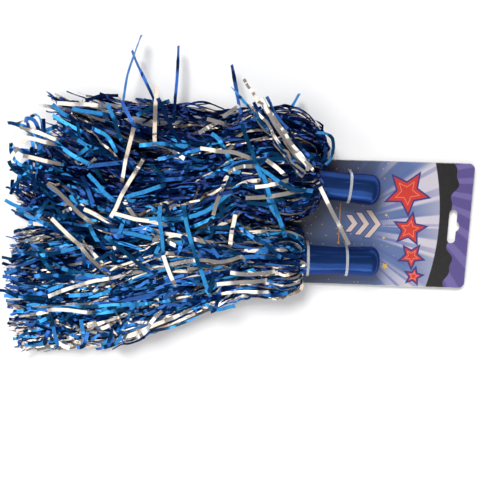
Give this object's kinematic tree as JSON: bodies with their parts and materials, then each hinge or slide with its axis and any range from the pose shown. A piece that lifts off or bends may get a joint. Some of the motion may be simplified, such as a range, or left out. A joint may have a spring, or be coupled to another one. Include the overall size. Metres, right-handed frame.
{
  "type": "cheer pom pom pair on a hanging card",
  "caption": "Blue and silver foil streamer pom poms with hollow baton handles, strapped to a printed hanging card by nylon cable ties.",
  "frame": {"origin": "centre of the header card's back face", "axes": "+X along the card from the tassels to the hang slot, +Y across the card, +Z out of the card's printed face"},
  "size_m": [0.4422, 0.3131, 0.0496],
  "materials": {
    "printed_board": "satin",
    "nylon": "satin",
    "blue_plastic": "gloss",
    "ferrule_plastic": "satin",
    "steel": "satin",
    "fibre_board": "matte",
    "rubber": "matte",
    "blue_foil": "gloss",
    "silver_foil": "gloss"
  },
  "bodies": {
    "card": {"header_card": "printed_board", "cable_tie_a_mouth": "nylon", "cable_tie_a_waist": "nylon", "cable_tie_b_mouth": "nylon", "cable_tie_b_waist": "nylon"},
    "pom_a_grip": {"handle_a": "blue_plastic", "ferrule_a": "ferrule_plastic", "staple_a": "steel", "washer_a": "fibre_board", "foil_root_a": "blue_foil", "binding_band_a": "rubber", "folded_loops_a": "blue_foil"},
    "pom_a_tassel": {"blue_lock_a_1": "blue_foil", "silver_lock_a_1": "silver_foil", "blue_lock_a_2": "blue_foil", "blue_lock_a_3": "blue_foil", "silver_lock_a_2": "silver_foil", "loose_strip_a_1": "blue_foil", "loose_strip_a_2": "blue_foil", "loose_strip_a_3": "blue_foil", "loose_strip_a_4": "blue_foil", "loose_strip_a_5": "blue_foil", "loose_strip_a_6": "silver_foil"},
    "pom_b_grip": {"handle_b": "blue_plastic", "ferrule_b": "ferrule_plastic", "staple_b": "steel", "washer_b": "fibre_board", "foil_root_b": "blue_foil", "binding_band_b": "rubber", "folded_loops_b": "blue_foil"},
    "pom_b_tassel": {"blue_lock_b_1": "blue_foil", "silver_lock_b_1": "silver_foil", "blue_lock_b_2": "blue_foil", "silver_lock_b_2": "silver_foil", "blue_lock_b_3": "blue_foil", "loose_strip_b_1": "silver_foil", "loose_strip_b_2": "blue_foil"}
  },
  "joints": [
    {"name": "slide_out_a", "type": "slide", "parent": "card", "child": "pom_a_grip", "axis": [-0.9968, 0.0802, 0], "range_m": [0, 0.09]},
    {"name": "lift_a", "type": "hinge", "parent": "pom_a_grip", "child": "pom_a_tassel", "pos_m": [-0.10117, 0.04206, 0.015], "axis": [0.0802, 0.9968, 0], "range_deg": [0, 70]},
    {"name": "slide_out_b", "type": "slide", "parent": "card", "child": "pom_b_grip", "axis": [-1, -0.0087, 0], "range_m": [0, 0.09]},
    {"name": "lift_b", "type": "hinge", "parent": "pom_b_grip", "child": "pom_b_tassel", "pos_m": [-0.0975, -0.03388, 0.015], "axis": [-0.0087, 1, 0], "range_deg": [0, 70]}
  ]
}
